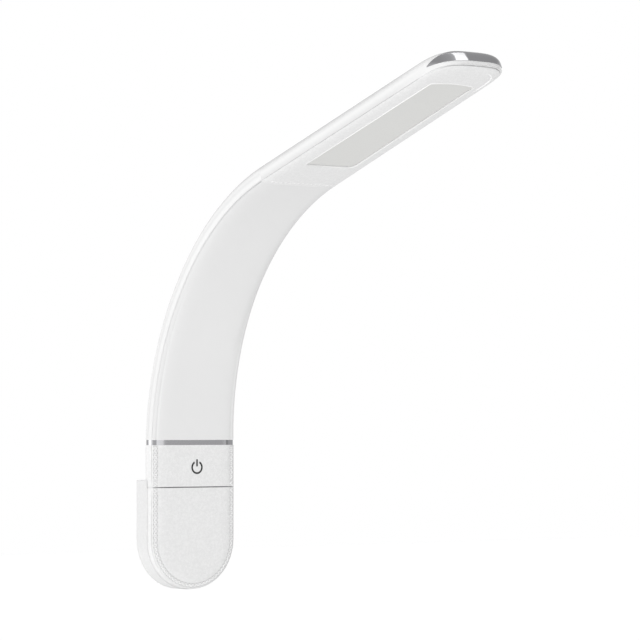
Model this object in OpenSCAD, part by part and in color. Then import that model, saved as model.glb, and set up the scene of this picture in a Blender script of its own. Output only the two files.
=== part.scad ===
// Folding LED desk lamp with a rechargeable base, a bendable flat arm and a flat light head.
// All sizes are millimetres. X runs across the lamp, the front faces -Y and Z is up.
// The origin is the middle of the round end of the base, on the face of the back pad.

/* [Base] */
// Width of the base, of the control section and of the foot of the arm
base_w = 60; // [58:1:66]
// Height of the lower base piece, from the fold line down to its round end
leaf_h = 62; // [60:1:72]
// Depth of the base from its front face to the back pad
base_t = 18.8; // [18:0.1:20]
// How far the back block stands up behind the control section
lip_h = 4.4; // [3:0.2:8]
// How far the back block stands proud of the sides
block_proud = 0.4; // [0.3:0.05:0.6]
// How far behind the parting line the back block begins
block_front = 4.4; // [4:0.1:6]
// Wall of the cases in the base
case_wall = 2; // [1.8:0.1:2.4]
// How far the rubber pad stands out of the back face
pad_proud = 0.4; // [0.2:0.1:0.6]
// Thickness of the steel weight
weight_t = 3; // [2:0.2:3.2]
// Thickness of the battery
battery_t = 5.6; // [4:0.2:6]

/* [Section of the arm] */
// Height of the front face above the parting line
front_rise = 1.8; // [1.6:0.1:2.4]
// Width of the soft slope at each side of the front face
soft_edge = 12; // [9:0.5:14]
// Depth from the parting line to the back
back_t = 9.6; // [9.6:0.1:10]
// Radius of the two back corners
back_r = 4.3; // [3.5:0.1:5]
// Wall of the soft sleeve
sleeve_wall = 1.6; // [1.4:0.1:1.8]
// Half width of the groove that runs along both sides
groove_half = 0.3; // [0.2:0.05:0.5]
// Depth of the groove that runs along both sides
groove_deep = 0.5; // [0.3:0.05:0.8]

/* [Fold] */
// Depth of the fold axis behind the front face
axis_deep = 2.6; // [2.5:0.1:3]
// Radius of the fold rod
fold_rod_r = 0.7; // [0.5:0.05:0.8]
// Outer radius of the hinge barrels
barrel_r = 1.5; // [1.4:0.05:1.6]
// Gap between the base and the control section at the fold line
seam_gap = 0.6; // [0.4:0.1:0.8]
// Thickness of the leather strip over the fold
crease_t = 0.8; // [0.6:0.05:0.9]

// Width of the dark crease line in that strip
crease_line = 0.5; // [0.4:0.1:1]

/* [Control section] */
// Height of the control section, from the fold line to the metal ring
stem_h = 25.6; // [25:0.2:32]
// Height of the metal ring
ring_h = 3.1; // [2.5:0.1:4]
// How far the ring lies inside the outline
ring_inset = 0.35; // [0.2:0.05:0.6]
// Radius of the printed power mark, to the outside of its stroke
mark_r = 4.1; // [3:0.1:4.5]
// Stroke of the power mark
mark_stroke = 1.1; // [0.5:0.1:1.3]
// Height of the middle of the power mark above the fold line
mark_up = 12; // [11.8:0.1:14]
// How far the middle of the power mark lies to the right of the lamp's middle
mark_x = 1.8; // [-2:0.1:2]

/* [Arm] */
// Radius of the arm's curve, measured on the parting line
arm_r = 158.4; // [150:0.2:180]
// Whole bend of the arm in the pose of the drawing, in degrees
arm_bend = 72.5; // [66:0.5:76]
// Full width of the arm half way up
arm_mid_w = 55.1; // [52:0.1:57]
// Radius of the link pins
link_pin_r = 1; // [0.8:0.05:1.2]
// Radius of the link eyes and ears
link_eye_r = 2.3; // [2.1:0.05:2.4]
// Running clearance of the pins, on the radius
pin_fit = 0.05; // [0.03:0.01:0.08]

/* [Head] */
// Full width of the head where it meets the arm
head_w = 53.2; // [51:0.1:55]
// Full width of the head where its round tip begins
tip_w = 48; // [46:0.1:51]
// Length of the head
head_len = 174; // [170:1:182]
// Length of the round tip
tip_len = 26; // [22:0.5:28]
// Squareness of the tip: 2 is an ellipse and more is squarer
tip_square = 3.4; // [2.2:0.1:4]
// Radius of the back edge at the middle of the tip
tip_back_r = 6.8; // [5.2:0.1:7.5]
// Width of the lip round the front of the tip
tip_lip = 1.7; // [1:0.1:2]
// Wall of the back shell
head_wall = 1.5; // [1.4:0.1:1.8]
// Where the light panel starts, measured from the arm's end
panel_start = 31; // [31:0.5:36]
// Where the light panel ends, measured from the arm's end
panel_end = 149; // [144:0.5:150]
// Full width of the panel at its start
panel_w0 = 33; // [30:0.1:34]
// Full width of the panel at its end
panel_w1 = 29.2; // [27:0.1:30]
// Radius of the panel's lower right corner
panel_corner = 3.4; // [2:0.2:5]
// How far the diffuser lies below the front face
diffuser_low = 0.4; // [0.3:0.05:0.6]
// Thickness of the chrome trim on the tip
trim_t = 0.35; // [0.3:0.05:0.5]

/* [Hidden] */

// Places that follow from the sizes above
half_w = base_w / 2;
fold_z = leaf_h - half_w;
part_y = front_rise - base_t;
back_y = part_y + back_t;
block_back_y = -pad_proud;
axis_y = axis_deep - base_t;
ring_z0 = fold_z + stem_h;
ring_z1 = ring_z0 + ring_h;
arc_z = ring_z0 + ring_h / 2;
arc_y = part_y - arm_r;
mark_z = fold_z + mark_up;
joints = 7;
step = arm_bend / joints;
arm_len = arm_r * arm_bend * PI / 180;
tip_start = head_len - tip_len;

// Small fits
line_gap = 0.15;
lip_gap = 0.3;
bevel_gap = 0.35;
side_gap = 0.3;
fit = 0.1;

// The spine of the arm
spine_v = (front_rise - back_t) / 2;
spine_t = 4.4;
spine_w = 18;
eye_w = 8;
chord = 2 * (arm_r - spine_v) * sin(step / 2);
sag = (arm_r - spine_v) * cos(step / 2) - arm_r;

// Half width of the arm at the length s
function arm_half(s) = lookup(s, [[0, half_w], [arm_len / 2, arm_mid_w / 2], [arm_len, head_w / 2]]);

// Half width of the head at the length s past the arm
function head_half(s) = head_w / 2 + (tip_w - head_w) / 2 * min(s, tip_start) / tip_start;

// The right half of the section, from the front to the back, as [across, forward] for a half width w
function soft_front(w, n) = [for (k = [n:-1:1]) [w - soft_edge + soft_edge * cos(90 * k / n), front_rise * sin(90 * k / n)]];
function back_corner(w, n) = [for (k = [0:n]) [w - back_r + back_r * cos(90 * k / n), back_r - back_t - back_r * sin(90 * k / n)]];
function groove(w) = [[w, groove_half], [w - groove_deep, 0], [w, -groove_half]];
function half_outer(w, n) = concat(soft_front(w, n), groove(w), back_corner(w, n));
function half_plain(w, n) = concat(soft_front(w, n), [[w, 0]], back_corner(w, n));
function half_inner(w, n, t) = concat(
  [for (p = soft_front(w, n)) [p[0] - t, p[1] - t]], [[w - t, -t]],
  [for (k = [0:n]) [w - back_r + (back_r - t) * cos(90 * k / n), back_r - back_t - (back_r - t) * sin(90 * k / n)]]);
function both(h) = concat(h, [for (k = [len(h) - 1:-1:0]) [-h[k][0], h[k][1]]]);

// Places children in the frame of the arc: X across, Y to the back, Z along the arm
module at_arc(a) {
  translate([0, arc_y, arc_z]) rotate([a, 0, 0]) translate([0, arm_r, 0]) children();
}

// Places children in the frame of the head
module at_head() {
  at_arc(arm_bend) children();
}

// A box from one corner to the opposite corner
module span(a, b) {
  translate(a) cube([b[0] - a[0], b[1] - a[1], b[2] - a[2]]);
}

// A rod along X
module rod_x(r, x0, x1, y, z, n = 48) {
  translate([x0, y, z]) rotate([0, 90, 0]) cylinder(r = r, h = x1 - x0, $fn = n);
}

// A rod along Y
module rod_y(r, y0, y1, x, z, n = 48) {
  translate([x, y0, z]) rotate([-90, 0, 0]) cylinder(r = r, h = y1 - y0, $fn = n);
}

// A straight bar with the section of the arm, made smaller by i on its sides and back, from z0 to z1
module section_bar(z0, z1, i = 0) {
  translate([0, part_y, z0]) linear_extrude(z1 - z0) mirror([0, 1])
    polygon(both(i == 0 ? half_plain(half_w, 12) : half_inner(half_w, 12, i)));
}

// The same section turned round the lower end of the base
module section_end(i = 0) {
  w = half_w;
  h = i == 0 ? half_plain(w, 12) : half_inner(w, 12, i);
  translate([0, part_y, 0]) rotate([90, 0, 0]) rotate([0, 0, 180]) rotate_extrude(angle = 180, $fn = 96)
    polygon(concat([[0, h[0][1]]], h, [[0, h[len(h) - 1][1]]]));
}

// The whole lower base outline with the arm's section, up to the height z1
module leaf_body(z1, i = 0) {
  union() {
    section_bar(0, z1, i);
    section_end(i);
  }
}

// A flat plate with a round lower end: half width w, from y0 to y1, up to the height z1
module round_plate(w, y0, y1, z1) {
  union() {
    span([-w, y0, 0], [w, y1, z1]);
    intersection() {
      rod_y(w, y0, y1, 0, 0, 96);
      span([-w - 1, y0 - 1, -w - 1], [w + 1, y1 + 1, 0]);
    }
  }
}

// The wedge in front of the fold axis, with its half height e at the axis
module fold_wedge(x, e) {
  f = axis_deep + 1;
  translate([-x, 0, 0]) rotate([90, 0, 90]) linear_extrude(2 * x)
    polygon([[axis_y, fold_z - e], [axis_y - f, fold_z - f - e], [axis_y - f, fold_z + f + e], [axis_y, fold_z + e]]);
}

// The free space in front of the fold axis and the gap behind it
module fold_space(x) {
  fold_wedge(x, bevel_gap);
  span([-x, axis_y - 0.01, fold_z - seam_gap / 2], [x, 1, fold_z + seam_gap / 2]);
}

// Room for the hinge barrels
module barrel_room() {
  rod_x(barrel_r + side_gap, -leaf_x - 0.4, leaf_x + 0.4, axis_y, fold_z, 64);
}

// Sizes of the fold hinge
leaf_x = 24;
leaf_split = 9;
leaf_long = 8.4;
leaf_t = 1.2;
leaf_y0 = axis_y + 0.3;
leaf_y1 = leaf_y0 + leaf_t;
hinge_screws_x = [-18, 0, 18];
hinge_screw_r = 1;
block_long = 9.4;

// Sizes inside the base
boss_r = 3.2;
boss_at = half_w - case_wall - boss_r + 0.5;
weight_y1 = block_back_y - 1.4;
weight_y0 = weight_y1 - weight_t;
battery_y0 = weight_y0 - 0.3 - battery_t;
inlet_z = 8;
inlet_y = part_y + 5.4;
inlet_w = 9;
inlet_h = 3.3;
inlet_long = 7.4;
case_in = half_w - case_wall;
cell_top = fold_z - block_long - 1.1;
cell_low = -0.3 * half_w;
cell_x0 = 13 - half_w;
cell_x1 = half_w - 16.5;
board_x0 = cell_x1 + 1.5;
screw_places = [for (s = [-1, 1]) for (p = [[boss_at, 16], [boss_at * 0.69, -boss_at * 0.724]]) [s * p[0], p[1]]];
screw_r = 1.25;
screw_head_r = 2.3;
screw_top = block_back_y - 0.7;

// BASE

module base_front_cover() {
  color("white") difference() {
    union() {
      intersection() {
        leaf_body(fold_z);
        span([-99, -base_t - 1, -99], [99, part_y - line_gap, 99]);
      }
      // A rim inside the case keeps the cover in line
      difference() {
        round_plate(half_w - case_wall - fit, part_y - 0.4, part_y + 1.6, fold_z - block_long - 0.3);
        round_plate(half_w - case_wall - fit - 1.2, part_y - line_gap, part_y + 3, fold_z - block_long - 1.5);
      }
    }
    fold_space(99);
    barrel_room();
    inlet_hole(0.3);
  }
}

module base_middle_case() {
  color("white") difference() {
    intersection() {
      leaf_body(fold_z);
      span([-99, part_y + line_gap, -99], [99, back_y, 99]);
    }
    // The hollow, with bosses left standing in it
    difference() {
      round_plate(half_w - case_wall, part_y - 2, back_y + 1, fold_z - block_long);
      for (p = screw_places) rod_y(boss_r, part_y + 2, back_y + 2, p[0], p[1]);
    }
    for (p = screw_places) rod_y(screw_r - 0.15, part_y + 3.4, back_y + 1, p[0], p[1]);
    // The bed of the hinge leaf
    span([-leaf_x - fit, part_y - 2, fold_z - leaf_long - fit], [leaf_x + fit, leaf_y1, fold_z + 1]);
    for (x = hinge_screws_x) rod_y(hinge_screw_r - 0.1, leaf_y1 - 1, leaf_y1 + 5, x, fold_z - 5.6, 32);
    fold_space(99);
    barrel_room();
    inlet_hole(0.15);
  }
}

// The opening for the charging socket in the right side of the base
module inlet_hole(c) {
  y = inlet_h / 2 + c;
  z = inlet_w / 2 + 0.1 + c;
  span([case_in - inlet_long, inlet_y - y, inlet_z - z], [half_w + 1, inlet_y + y, inlet_z + z]);
}

module base_back_block() {
  color("white") difference() {
    union() {
      difference() {
        rounded_block(part_y + block_front, block_back_y, fold_z + lip_h);
        // The bed of the case, whose round back corners the block wraps
        leaf_body(fold_z, -fit);
        // The lip stays clear of the control section
        section_bar(fold_z - seam_gap / 2, fold_z + lip_h + 1, -lip_gap);
        // The hollow for the weight
        round_plate(half_w - case_wall - 0.4, back_y - 1, block_back_y - 1.4, fold_z - 5);
        // The bed of the rubber pad
        round_plate(half_w - 3.5, block_back_y - 0.6, 1, fold_z + lip_h - 3.5);
      }
      for (p = screw_places) rod_y(boss_r, back_y + fit, block_back_y - 0.6, p[0], p[1]);
    }
    for (p = screw_places) {
      rod_y(screw_r + 0.15, back_y - 1, 1, p[0], p[1]);
      rod_y(screw_head_r + 0.15, screw_top - 1.6, block_back_y - 0.6, p[0], p[1]);
    }
  }
}

// Right half of the block's section seen from above, with its edges rounded, as [across, depth]
function block_half(w, y0, y1, r) = concat(
  [[w - 0.15, y0], [w, y0 + 0.15]],
  [for (k = [0:8]) [w - r + r * cos(90 * k / 8), y1 - r + r * sin(90 * k / 8)]]);

// The block: its section drawn straight up and turned round the lower end, with the top edges rounded
module rounded_block(y0, y1, z1) {
  r = 0.9;
  w = half_w + block_proud;
  h = block_half(w, y0, y1, r);
  intersection() {
    union() {
      linear_extrude(z1) polygon(both(h));
      rotate([-90, 0, 0]) rotate_extrude(angle = 180, $fn = 96) polygon(concat([[0, y0]], h, [[0, y1]]));
    }
    translate([-w - 1, 0, 0]) rotate([90, 0, 90]) linear_extrude(2 * w + 2)
      polygon(concat([[y0, -w - 1], [y1, -w - 1]],
        [for (k = [0:6]) [y1 - r + r * cos(90 * k / 6), z1 - r + r * sin(90 * k / 6)]],
        [for (k = [0:6]) [y0 + r - r * sin(90 * k / 6), z1 - r + r * cos(90 * k / 6)]]));
  }
}

module base_pad() {
  color("dimgray") round_plate(half_w - 3.6, block_back_y - 0.6, 0, fold_z + lip_h - 3.6);
}

module base_weight() {
  color("slategray") difference() {
    round_plate(half_w - case_wall - 0.8, weight_y0, weight_y1, fold_z - 5.4);
    for (p = screw_places) rod_y(boss_r + 0.4, weight_y0 - 1, weight_y1 + 1, p[0], p[1]);
  }
}

module battery_cell() {
  color("steelblue") union() {
    span([cell_x0, battery_y0, cell_low], [cell_x1, weight_y0 - 0.1, cell_top]);
    span([cell_x0 + 10, battery_y0 + 1, cell_top - 0.1], [cell_x1 - 9.5, weight_y0 - 1.4, cell_top + 0.9]);
  }
}

module charge_board() {
  y = inlet_y + inlet_h / 2 + 0.15;
  color("darkgreen") difference() {
    intersection() {
      span([board_x0, y, cell_low], [half_w, y + 1.1, cell_top - 1.1]);
      round_plate(case_in - 0.4, y - 1, y + 2, fold_z);
    }
    for (p = screw_places) rod_y(boss_r + 0.4, y - 1, y + 2, p[0], p[1]);
  }
}

module charge_inlet() {
  x1 = half_w - 0.6;
  x0 = x1 - inlet_long;
  h = inlet_h / 2;
  w = inlet_w / 2;
  wall = 0.4;
  color("silver") union() {
    difference() {
      span([x0, inlet_y - h, inlet_z - w], [x1, inlet_y + h + 0.1, inlet_z + w]);
      span([x0 + 1, inlet_y - h + wall, inlet_z - w + wall], [x1 + 1, inlet_y + h - wall, inlet_z + w - wall]);
    }
    // The tongue of the socket
    span([x0 + 0.8, inlet_y - 0.35, inlet_z - w + 1.3], [x1 - 1, inlet_y + 0.35, inlet_z + w - 1.3]);
  }
}

module base_screws() {
  color("silver") for (p = screw_places) {
    difference() {
      union() {
        rod_y(screw_head_r, screw_top - 1.6, screw_top, p[0], p[1]);
        rod_y(screw_r - 0.2, part_y + 4, screw_top - 1, p[0], p[1]);
      }
      for (a = [0, 90]) translate([p[0], screw_top, p[1]]) rotate([0, a, 0]) cube([2.8, 1.4, 0.6], center = true);
    }
  }
}

// FOLD HINGE

module hinge_leaf(sign) {
  // sign is -1 for the leaf in the base and 1 for the leaf in the control section
  difference() {
    union() {
      span([-leaf_x, leaf_y0, sign > 0 ? fold_z : fold_z - leaf_long],
           [leaf_x, leaf_y1, sign > 0 ? fold_z + leaf_long : fold_z]);
      if (sign > 0) rod_x(barrel_r, -leaf_split + 0.15, leaf_split - 0.15, axis_y, fold_z);
      else {
        rod_x(barrel_r, -leaf_x, -leaf_split - 0.15, axis_y, fold_z);
        rod_x(barrel_r, leaf_split + 0.15, leaf_x, axis_y, fold_z);
      }
    }
    // Free room round the other leaf's barrels
    if (sign > 0) {
      rod_x(barrel_r + side_gap, -leaf_x - 1, -leaf_split + 0.15, axis_y, fold_z);
      rod_x(barrel_r + side_gap, leaf_split - 0.15, leaf_x + 1, axis_y, fold_z);
      span([-leaf_x - 1, -30, fold_z - 1], [-leaf_split + 0.15, 0, fold_z + 0.4]);
      span([leaf_split - 0.15, -30, fold_z - 1], [leaf_x + 1, 0, fold_z + 0.4]);
    } else {
      rod_x(barrel_r + side_gap, -leaf_split - 0.15, leaf_split + 0.15, axis_y, fold_z);
      span([-leaf_split - 0.15, -30, fold_z - 0.4], [leaf_split + 0.15, 0, fold_z + 1]);
    }
    rod_x(fold_rod_r + pin_fit, -leaf_x - 1, leaf_x + 1, axis_y, fold_z);
    for (x = hinge_screws_x) rod_y(hinge_screw_r + 0.1, leaf_y0 - 1, leaf_y1 + 1, x, fold_z + sign * 5.6, 32);
  }
}

module fold_leaf_base() {
  color("gray") hinge_leaf(-1);
}

module fold_leaf_stem() {
  color("gray") hinge_leaf(1);
}

module fold_rod() {
  color("silver") rod_x(fold_rod_r, -leaf_x - 0.2, leaf_x + 0.2, axis_y, fold_z);
}

module hinge_screw_set(sign) {
  color("silver") for (x = hinge_screws_x) union() {
    rod_y(hinge_screw_r - 0.15, leaf_y0 - 0.1, leaf_y1 + 4, x, fold_z + sign * 5.6, 32);
    rod_y(1.7, leaf_y0 - 0.7, leaf_y0, x, fold_z + sign * 5.6, 32);
  }
}

module fold_screws_base() {
  hinge_screw_set(-1);
}

module fold_screws_stem() {
  hinge_screw_set(1);
}

module fold_crease() {
  f = axis_deep + bevel_gap;
  front = soft_front(half_w, 12);
  skin = concat(
    [for (p = front) p], [[half_w - 0.05, 0.1]],
    [[half_w - 0.9, 0.1 - crease_t]], [for (k = [len(front) - 1:-1:0]) [front[k][0] - 0.8, front[k][1] - crease_t]]);
  outline = concat(skin, [for (k = [len(skin) - 1:-1:0]) [-skin[k][0], skin[k][1]]]);
  color("white") difference() {
    intersection() {
      translate([0, part_y, fold_z - f]) linear_extrude(2 * f) mirror([0, 1]) polygon(outline);
      fold_wedge(99, bevel_gap - 0.15);
    }
    span([-99, -base_t - 1, fold_z - crease_line / 2], [99, -base_t + crease_t / 2, fold_z + crease_line / 2]);
  }
}

// CONTROL SECTION

module stem_front_cover() {
  color("white") difference() {
    union() {
      intersection() {
        section_bar(fold_z, ring_z0);
        span([-99, -base_t - 1, 0], [99, part_y - line_gap, 99]);
      }
      for (s = [-1, 1])
        span([s > 0 ? half_w - case_wall - fit - 1.2 : fit + case_wall - half_w, part_y - 0.4, fold_z + block_long + 0.3],
             [s > 0 ? half_w - case_wall - fit : fit + case_wall + 1.2 - half_w, part_y + 1.4, ring_z0]);
    }
    fold_space(99);
    barrel_room();
  }
}

module stem_back_shell() {
  color("white") difference() {
    intersection() {
      section_bar(fold_z, ring_z0);
      span([-99, part_y + line_gap, 0], [99, back_y + 1, 99]);
    }
    difference() {
      intersection() {
        section_bar(fold_z, ring_z0 + 1, case_wall);
        span([-99, -99, fold_z + block_long], [99, back_y - 1.6, 99]);
      }
      // Two bosses carry the arm's anchor
      for (x = [-11, 11]) rod_y(3, part_y + anchor_back + 0.02, back_y, x, ring_z0 - 4.5);
    }
    // Clears the front so the cover's rims go in
    span([-half_w + case_wall, part_y - 1, fold_z + block_long], [half_w - case_wall, part_y + 2, ring_z0 + 1]);
    for (x = [-11, 11]) rod_y(0.95, part_y + anchor_back - 1, back_y - 0.8, x, ring_z0 - 4.5, 32);
    span([-leaf_x - fit, part_y - 2, fold_z - 1], [leaf_x + fit, leaf_y1, fold_z + leaf_long + fit]);
    for (x = hinge_screws_x) rod_y(hinge_screw_r - 0.1, leaf_y1 - 1, leaf_y1 + 5, x, fold_z + 5.6, 32);
    fold_space(99);
    barrel_room();
  }
}

module power_mark() {
  color("black") translate([mark_x, -base_t, mark_z]) rotate([90, 0, 0]) union() {
    rotate([0, 0, 120]) rotate_extrude(angle = 300, $fn = 96)
      translate([mark_r - mark_stroke, 0]) square([mark_stroke, 0.08]);
    translate([-mark_stroke / 2, 0.6, 0]) cube([mark_stroke, mark_r + 0.2, 0.08]);
  }
}

module touch_board() {
  color("darkgreen") span([-16, part_y + 0.5, fold_z + block_long + 0.2], [16, part_y + 1.4, ring_z0 - 6.8]);
}

module touch_pad() {
  color("goldenrod") span([mark_x - 6, part_y - line_gap, fold_z + block_long + 0.4], [mark_x + 6, part_y + 0.48, mark_z + 4.9]);
}

module trim_ring() {
  color("silver") difference() {
    section_bar(ring_z0, ring_z1, ring_inset);
    section_bar(ring_z0 - 1, ring_z1 + 1, ring_inset + 1.4);
  }
}

// ARM

// How far behind the parting plane the anchor's front and back lie
anchor_front = -spine_v - spine_t / 2;
anchor_back = -spine_v + spine_t / 2;

// Ears round the pin at the top of a piece, in the frame of the piece's middle
module ears(y, z, down) {
  for (s = [-1, 1]) union() {
    rod_x(link_eye_r, s > 0 ? eye_w / 2 + 0.2 : -spine_w / 2, s > 0 ? spine_w / 2 : -eye_w / 2 - 0.2, y, z);
    span([s > 0 ? eye_w / 2 + 0.2 : -spine_w / 2, y - spine_t / 2 + 0.15, z - down],
         [s > 0 ? spine_w / 2 : -eye_w / 2 - 0.2, y + spine_t / 2 - 0.15, z]);
  }
}

// An eye round the pin at the bottom of a piece
module eye(y, z, up) {
  rod_x(link_eye_r, -eye_w / 2, eye_w / 2, y, z);
  span([-eye_w / 2, y - spine_t / 2 + 0.15, z], [eye_w / 2, y + spine_t / 2 - 0.15, z + up]);
}

module arm_anchor() {
  // The frame of the pin at the first joint
  a = step / 2;
  py = arc_y + (arm_r - spine_v) * cos(a);
  pz = arc_z + (arm_r - spine_v) * sin(a);
  color("gray") difference() {
    union() {
      span([-15, part_y + anchor_front, ring_z0 - 8], [15, part_y + anchor_back, ring_z1 + 2]);
      span([-spine_w / 2, part_y + anchor_front, ring_z1 + 1], [spine_w / 2, part_y + anchor_back, pz - 3.3]);
      ears(py, pz, 4);
    }
    rod_x(link_pin_r + pin_fit, -20, 20, py, pz);
    for (x = [-11, 11]) rod_y(1.15, part_y, back_y, x, ring_z0 - 4.5, 32);
  }
}

module anchor_screws() {
  color("silver") for (x = [-11, 11]) union() {
    rod_y(0.9, part_y + anchor_front - 0.1, back_y - 1, x, ring_z0 - 4.5, 32);
    rod_y(1.8, part_y + anchor_front - 1, part_y + anchor_front, x, ring_z0 - 4.5, 32);
  }
}

module link_pin(k) {
  color("silver") at_arc((k - 0.5) * step)
    rod_x(link_pin_r, -spine_w / 2 - 0.4, spine_w / 2 + 0.4, -spine_v, 0);
}

module arm_link(k) {
  color("gray") at_arc(k * step) difference() {
    union() {
      span([-spine_w / 2, sag - spine_t / 2, 3.3 - chord / 2], [spine_w / 2, sag + spine_t / 2, chord / 2 - 3.3]);
      ears(sag, chord / 2, 4);
      eye(sag, -chord / 2, 4);
    }
    for (s = [-1, 1]) rod_x(link_pin_r + pin_fit, -20, 20, sag, s * chord / 2);
    // A channel for the flat cable
    span([-3, sag - spine_t, 8 - chord / 2], [3, sag - spine_t / 2 + 1.2, chord / 2 - 3]);
  }
}

// Faces of a stack of closed rings with m points each
function tube_faces(m, cuts) = concat(
  [for (j = [0:cuts - 1]) for (i = [0:m - 1])
    [j * m + i, (j + 1) * m + i, (j + 1) * m + (i + 1) % m, j * m + (i + 1) % m]],
  [[for (i = [0:m - 1]) i]], [[for (i = [m - 1:-1:0]) cuts * m + i]]);

// The sleeve between two angles, with the space for the spine taken out
module sleeve(k) {
  n = 6;
  cuts = 6;
  a0 = k == 1 ? asin((ring_h / 2 + 0.02) / (arm_r - front_rise)) : (k - 1) * step;
  a1 = k * step;
  angles = [for (j = [0:cuts]) a0 + (a1 - a0) * j / cuts];
  m = len(both(half_outer(half_w, n)));
  pts = [for (a = angles) for (p = both(half_outer(arm_half(arm_r * a * PI / 180), n)))
    [p[0], arc_y + (arm_r - p[1]) * cos(a), arc_z + (arm_r - p[1]) * sin(a)]];
  color("white") difference() {
    polyhedron(pts, tube_faces(m, cuts));
    sleeve_core(k);
  }
}

// The space inside a sleeve, a little longer than the sleeve
module sleeve_core(k) {
  n = 6;
  cuts = 6;
  a0 = (k - 1) * step - 0.3;
  a1 = k * step + 0.3;
  angles = [for (j = [0:cuts]) a0 + (a1 - a0) * j / cuts];
  pts = [for (a = angles) for (p = both(half_inner(arm_half(arm_r * a * PI / 180), n, sleeve_wall)))
    [p[0], arc_y + (arm_r - p[1]) * cos(a), arc_z + (arm_r - p[1]) * sin(a)]];
  polyhedron(pts, tube_faces(len(both(half_inner(half_w, n, sleeve_wall))), cuts));
}

// HEAD

function sgn_pow(x, e) = sign(x) * pow(abs(x), e);

// Outline of the head as [across, along] from s0, made smaller by i on its sides and by j at the middle of its tip
function head_outline(i, j, s0, n) = concat(
  [for (s = [s0, tip_start]) [head_half(s) - i, s]],
  [for (k = [1:n - 1]) let (a = 180 * k / n, q = i + (j - i) * sin(a))
    [(tip_w / 2 - q) * sgn_pow(cos(a), 2 / tip_square), tip_start + (tip_len - q) * pow(sin(a), 2 / tip_square)]],
  [for (s = [tip_start, s0]) [i - head_half(s), s]]);

// A stack of head outlines: levels are [inset at the sides, inset at the tip, forward], from the back to the front
module head_stack(levels, s0, n = 36) {
  m = len(head_outline(0, 0, s0, n));
  l = len(levels);
  pts = [for (g = levels) for (p = head_outline(g[0], g[1], s0, n)) [p[0], -g[2], p[1]]];
  polyhedron(pts, tube_faces(m, l - 1));
}

// How far a back edge of the radius r lies inside the outline at the height v, when moved out by d
function edge_inset(v, r, d) = let (c = r - back_t - v) c <= 0 ? -d : r - sqrt(max(0, (r + d) * (r + d) - c * c));
function shell_heights(d) = concat(
  [for (k = [6:-1:0]) back_r - back_t - (back_r + d) * sin(90 * k / 6)],
  [for (k = [1:3]) back_r - back_t + (tip_back_r - back_r) * k / 3]);
function shell_levels(d, top) = concat(
  [for (v = shell_heights(d)) [edge_inset(v, back_r, d), edge_inset(v, tip_back_r, d), v]], [[-d, -d, top]]);
front_levels = concat([[0.02, line_gap], [0.1, line_gap + 0.12]],
  [for (k = [1:8]) let (a = 90 * k / 8) [soft_edge - soft_edge * cos(a), max(line_gap, front_rise * sin(a))]]);

light_low = -4.9;
plate_t = 1;
guide_half = (panel_w0 + 2) / 2;
plate_half = guide_half + 4.9;
stand_places = [for (x = [-1, 1]) for (p = [[3.3, panel_start + 11], [3.1, panel_end - 11]]) [x * (guide_half + p[0]), p[1]]];

// The window outline, larger by c all round
module window(c, y0, y1) {
  w0 = panel_w0 / 2 + c;
  w1 = panel_w1 / 2 + c;
  s0 = panel_start - c;
  s1 = panel_end + c;
  r = panel_corner + c;
  bulge = 2.2;
  end = [for (k = [0:12]) let (t = k / 12) [w1 - 2 * w1 * t, s1 + bulge * (1 - pow(2 * t - 1, 2))]];
  translate([0, y1, 0]) rotate([90, 0, 0]) linear_extrude(y1 - y0)
    polygon(concat([[-w0, s0]],
      [for (k = [0:8]) [w0 - r + r * sin(90 * k / 8), s0 + r - r * cos(90 * k / 8)]], end));
}

module head_back_shell() {
  color("white") at_head() difference() {
    head_stack(shell_levels(0, -line_gap), 0);
    difference() {
      head_stack(shell_levels(-head_wall, 1), head_wall);
      // Stands that carry the heat plate and the anchor
      for (p = stand_places) rod_y(2.6, -light_low + plate_t, back_t, p[0], p[1]);
      for (x = [-6, 6]) rod_y(2.6, anchor_back + 0.02, back_t, x, 13);
    }
    for (p = stand_places) rod_y(0.9, -light_low, back_t - 0.9, p[0], p[1], 32);
    for (x = [-6, 6]) rod_y(0.9, anchor_back, back_t - 0.9, x, 13, 32);
    // The way in for the anchor
    span([-spine_w / 2 - 0.6, anchor_front - 0.5, -1], [spine_w / 2 + 0.6, anchor_back + 0.5, head_wall + 1]);
  }
}

module head_front_frame() {
  w0 = head_wall + fit;
  w1 = w0 + 0.3;
  t = 1.2;
  color("white") at_head() difference() {
    union() {
      head_stack([for (g = front_levels) [g[0], g[0] + tip_lip, g[1]]], 0);
      difference() {
        head_stack([[w0, w1, -1.3], [w0, w1, line_gap + 0.3]], w0);
        head_stack([[w0 + t, w1 + t, -2], [w0 + t, w1 + t, line_gap]], w0 + t);
      }
    }
    window(0, -3, 3);
  }
}

module diffuser() {
  top = -front_rise + diffuser_low;
  color("gainsboro") at_head() union() {
    window(-0.12, top, 0.05);
    difference() {
      window(1.6, -line_gap + 0.02, 0.6);
      window(-0.2, -3, 0.05);
    }
    window(-0.12, -0.2, 0.6);
  }
}

module light_guide() {
  color("lightcyan") at_head()
    span([-guide_half, 0.65, panel_start - 0.6], [guide_half, 0.65 + 2.9, panel_end + 3]);
}

module reflector() {
  color("white") at_head()
    span([-guide_half, 3.57, panel_start - 0.6], [guide_half, 3.87, panel_end + 3]);
}

module heat_plate() {
  color("lightgray") at_head() difference() {
    span([-plate_half, 3.9, panel_start - 2], [plate_half, 3.9 + plate_t, panel_end - 3]);
    for (p = stand_places) rod_y(1, 0, 9, p[0], p[1], 32);
  }
}

module led_strips() {
  color("white") at_head() for (s = [-1, 1])
    span([s > 0 ? guide_half + 0.75 : -guide_half - 1.55, 0.7, panel_start + 1],
         [s > 0 ? guide_half + 1.55 : -guide_half - 0.75, 3.88, panel_end - 6]);
}

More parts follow.
